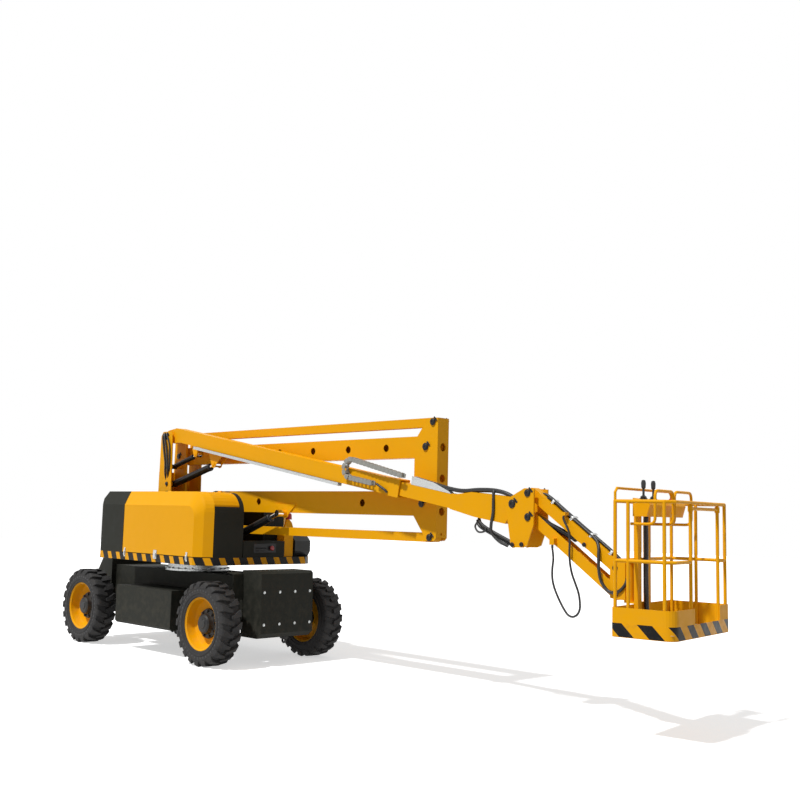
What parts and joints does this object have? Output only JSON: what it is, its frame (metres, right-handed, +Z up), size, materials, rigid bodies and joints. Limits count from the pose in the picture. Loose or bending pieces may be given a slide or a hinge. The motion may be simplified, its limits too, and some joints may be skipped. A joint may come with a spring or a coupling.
{
  "type": "articulating boom lift",
  "caption": "Narrow wheeled aerial platform with a double parallelogram riser, a telescopic boom and a jib, booms stowed low to the front.",
  "frame": {"origin": "on the ground below the centre of the whole outline", "axes": "+X the way the stowed booms lie and the machine steers, +Y to its left, +Z up"},
  "size_m": [7.8898, 1.59, 2.4966],
  "materials": {
    "yellow_paint": "gloss",
    "grey_paint": "satin",
    "black_paint": "satin",
    "tyre_rubber": "matte",
    "chrome": "polished",
    "zinc": "satin",
    "chain_plastic": "matte",
    "hose_rubber": "matte"
  },
  "bodies": {
    "chassis": {"chassis_frame": "grey_paint", "front_box": "grey_paint", "rear_box": "grey_paint", "side_box_right": "grey_paint", "side_box_left": "grey_paint", "front_axle": "black_paint", "rear_axle": "black_paint", "slew_ring": "zinc"},
    "steering_right": {"steering_knuckle_right": "black_paint"},
    "steering_left": {"steering_knuckle_left": "black_paint"},
    "wheel_front_right": {"rim_front_right": "yellow_paint", "tyre_front_right": "tyre_rubber"},
    "wheel_front_left": {"rim_front_left": "yellow_paint", "tyre_front_left": "tyre_rubber"},
    "wheel_rear_right": {"rim_rear_right": "yellow_paint", "tyre_rear_right": "tyre_rubber"},
    "wheel_rear_left": {"rim_rear_left": "yellow_paint", "tyre_rear_left": "tyre_rubber"},
    "turntable": {"turntable_deck": "grey_paint", "counterweight": "grey_paint", "hood_right": "grey_paint", "hood_left": "grey_paint", "riser_tower": "yellow_paint", "battery_pack": "black_paint", "pump_unit": "black_paint", "ground_control_box": "grey_paint", "oil_tank": "black_paint", "lamp_post": "yellow_paint"},
    "door_right": {"hood_door_right": "yellow_paint"},
    "door_left": {"hood_door_left": "yellow_paint"},
    "lower_arm": {"lower_arm": "yellow_paint"},
    "bottom_link": {"bottom_link": "yellow_paint"},
    "end_link": {"end_link": "yellow_paint"},
    "upper_arm": {"upper_arm": "yellow_paint"},
    "top_link": {"top_link": "yellow_paint"},
    "mast": {"mast": "yellow_paint"},
    "boom": {"boom_outer": "yellow_paint", "energy_chain": "chain_plastic", "hose_tray": "zinc"},
    "boom_extension": {"boom_inner": "yellow_paint", "hose_guide": "zinc"},
    "jib_knuckle": {"jib_knuckle": "yellow_paint"},
    "jib_upper": {"jib_upper_arm": "yellow_paint"},
    "jib_lower": {"jib_lower_arm": "yellow_paint", "jib_hose_loop": "hose_rubber"},
    "platform_mount": {"platform_mount": "yellow_paint"},
    "platform": {"platform_floor": "yellow_paint", "platform_rails": "yellow_paint", "control_console": "yellow_paint"},
    "gate": {"gate_bar": "yellow_paint"},
    "riser_ram_barrel": {"riser_ram_barrel": "black_paint"},
    "riser_ram_rod": {"riser_ram_rod": "chrome"},
    "boom_ram_barrel": {"boom_ram_barrel": "black_paint"},
    "boom_ram_rod": {"boom_ram_rod": "chrome"},
    "level_ram_barrel": {"level_ram_barrel": "black_paint"},
    "level_ram_rod": {"level_ram_rod": "chrome"},
    "jib_ram_barrel": {"jib_ram_barrel": "black_paint"},
    "jib_ram_rod": {"jib_ram_rod": "chrome"}
  },
  "joints": [
    {"name": "slew", "type": "hinge", "parent": "chassis", "child": "turntable", "pos_m": [-2.32465, 0, 0.93], "axis": [0, 0, 1], "continuous": true},
    {"name": "steer_right", "type": "hinge", "parent": "chassis", "child": "steering_right", "pos_m": [-1.12965, -0.47, 0.42], "axis": [0, 0, 1], "range_deg": [-25, 25]},
    {"name": "roll_front_right", "type": "hinge", "parent": "steering_right", "child": "wheel_front_right", "pos_m": [-1.12965, -0.67, 0.42], "axis": [0, 1, 0], "continuous": true},
    {"name": "roll_rear_right", "type": "hinge", "parent": "chassis", "child": "wheel_rear_right", "pos_m": [-3.51965, -0.67, 0.42], "axis": [0, 1, 0], "continuous": true},
    {"name": "steer_left", "type": "hinge", "parent": "chassis", "child": "steering_left", "pos_m": [-1.12965, 0.47, 0.42], "axis": [0, 0, 1], "range_deg": [-25, 25]},
    {"name": "roll_front_left", "type": "hinge", "parent": "steering_left", "child": "wheel_front_left", "pos_m": [-1.12965, 0.67, 0.42], "axis": [0, 1, 0], "continuous": true},
    {"name": "roll_rear_left", "type": "hinge", "parent": "chassis", "child": "wheel_rear_left", "pos_m": [-3.51965, 0.67, 0.42], "axis": [0, 1, 0], "continuous": true},
    {"name": "door_right_lift", "type": "hinge", "parent": "turntable", "child": "door_right", "pos_m": [-2.32465, -0.301, 1.755], "axis": [-1, 0, 0], "range_deg": [0, 60]},
    {"name": "door_left_lift", "type": "hinge", "parent": "turntable", "child": "door_left", "pos_m": [-2.32465, 0.382, 1.755], "axis": [1, 0, 0], "range_deg": [0, 60]},
    {"name": "riser_lift", "type": "hinge", "parent": "turntable", "child": "lower_arm", "pos_m": [-2.12465, 0.1, 1.66], "axis": [0, -1, 0], "range_deg": [0, 60]},
    {"name": "bottom_link_turn", "type": "hinge", "parent": "turntable", "child": "bottom_link", "pos_m": [-2.02065, 0.1, 1.354], "axis": [0, -1, 0], "range_deg": [0, 60]},
    {"name": "end_link_turn", "type": "hinge", "parent": "lower_arm", "child": "end_link", "pos_m": [1.12435, 0.1, 1.66], "axis": [0, 1, 0], "range_deg": [0, 60]},
    {"name": "upper_arm_turn", "type": "hinge", "parent": "end_link", "child": "upper_arm", "pos_m": [1.15935, 0.1, 2.182], "axis": [0, 1, 0], "range_deg": [0, 60]},
    {"name": "top_link_turn", "type": "hinge", "parent": "end_link", "child": "top_link", "pos_m": [1.24535, 0.1, 2.408], "axis": [0, 1, 0], "range_deg": [0, 60]},
    {"name": "mast_turn", "type": "hinge", "parent": "upper_arm", "child": "mast", "pos_m": [-2.79865, 0.1, 2.182], "axis": [0, -1, 0], "range_deg": [0, 60]},
    {"name": "boom_lift", "type": "hinge", "parent": "mast", "child": "boom", "pos_m": [-2.77265, -0.11, 2.402], "axis": [0, -1, 0], "range_deg": [0, 75]},
    {"name": "telescope", "type": "slide", "parent": "boom", "child": "boom_extension", "axis": [0.9854, 0, -0.1702], "range_m": [0, 1.2]},
    {"name": "knuckle_level", "type": "hinge", "parent": "boom_extension", "child": "jib_knuckle", "pos_m": [2.35135, -0.11, 1.66306], "axis": [0, 1, 0], "range_deg": [0, 75]},
    {"name": "jib_lift", "type": "hinge", "parent": "jib_knuckle", "child": "jib_upper", "pos_m": [2.50735, -0.11, 1.75106], "axis": [0, -1, 0], "range_deg": [-20, 90]},
    {"name": "jib_lower_turn", "type": "hinge", "parent": "jib_knuckle", "child": "jib_lower", "pos_m": [2.51135, -0.11, 1.55806], "axis": [0, -1, 0], "range_deg": [-20, 90]},
    {"name": "mount_level", "type": "hinge", "parent": "jib_upper", "child": "platform_mount", "pos_m": [3.29835, -0.11, 1.19308], "axis": [0, 1, 0], "range_deg": [-20, 90]},
    {"name": "platform_swing", "type": "hinge", "parent": "platform_mount", "child": "platform", "pos_m": [3.38535, -0.11, 1], "axis": [0, 0, 1], "range_deg": [-86, 74]},
    {"name": "gate_slide", "type": "slide", "parent": "platform", "child": "gate", "axis": [0, 0, 1], "range_m": [-0.34, 0]},
    {"name": "riser_ram_turn", "type": "hinge", "parent": "turntable", "child": "riser_ram_barrel", "pos_m": [-1.97465, -0.046, 1.132], "axis": [0, -1, 0], "range_deg": [0, 53]},
    {"name": "riser_ram_extend", "type": "slide", "parent": "riser_ram_barrel", "child": "riser_ram_rod", "axis": [0.9403, 0, 0.3403], "range_m": [0, 0.518]},
    {"name": "boom_ram_turn", "type": "hinge", "parent": "mast", "child": "boom_ram_barrel", "pos_m": [-2.72265, -0.105, 1.85], "axis": [0, -1, 0], "range_deg": [0, 58]},
    {"name": "boom_ram_extend", "type": "slide", "parent": "boom_ram_barrel", "child": "boom_ram_rod", "axis": [0.9667, 0, 0.2561], "range_m": [0, 0.605]},
    {"name": "level_ram_turn", "type": "hinge", "parent": "mast", "child": "level_ram_barrel", "pos_m": [-2.75165, -0.105, 2.052], "axis": [0, -1, 0], "range_deg": [0, 56]},
    {"name": "level_ram_extend", "type": "slide", "parent": "level_ram_barrel", "child": "level_ram_rod", "axis": [0.9639, 0, 0.2662], "range_m": [0, 0.379]},
    {"name": "jib_ram_turn", "type": "hinge", "parent": "jib_knuckle", "child": "jib_ram_barrel", "pos_m": [2.51135, -0.11, 1.55806], "axis": [0, -1, 0], "range_deg": [-20, 87]},
    {"name": "jib_ram_extend", "type": "slide", "parent": "jib_ram_barrel", "child": "jib_ram_rod", "axis": [0.9282, 0, -0.372], "range_m": [-0.067, 0.283]}
  ],
  "couplings": [
    {"joint": "steer_left", "follows": "steer_right", "ratio": 1},
    {"joint": "bottom_link_turn", "follows": "riser_lift", "ratio": 1},
    {"joint": "end_link_turn", "follows": "riser_lift", "ratio": 1},
    {"joint": "upper_arm_turn", "follows": "riser_lift", "ratio": 1},
    {"joint": "top_link_turn", "follows": "riser_lift", "ratio": 1},
    {"joint": "mast_turn", "follows": "riser_lift", "ratio": 1},
    {"joint": "knuckle_level", "follows": "boom_lift", "ratio": 1},
    {"joint": "jib_lower_turn", "follows": "jib_lift", "ratio": 1},
    {"joint": "mount_level", "follows": "jib_lift", "ratio": 1},
    {"joint": "riser_ram_turn", "follows": "riser_lift", "ratio": 0.8502},
    {"joint": "riser_ram_extend", "follows": "riser_lift", "m_per_rad": 0.4899},
    {"joint": "boom_ram_turn", "follows": "boom_lift", "ratio": 0.749},
    {"joint": "boom_ram_extend", "follows": "boom_lift", "m_per_rad": 0.4581},
    {"joint": "level_ram_turn", "follows": "boom_lift", "ratio": 0.7226},
    {"joint": "level_ram_extend", "follows": "boom_lift", "m_per_rad": 0.2854},
    {"joint": "jib_ram_turn", "follows": "jib_lift", "ratio": 0.948},
    {"joint": "jib_ram_extend", "follows": "jib_lift", "m_per_rad": 0.1771}
  ]
}
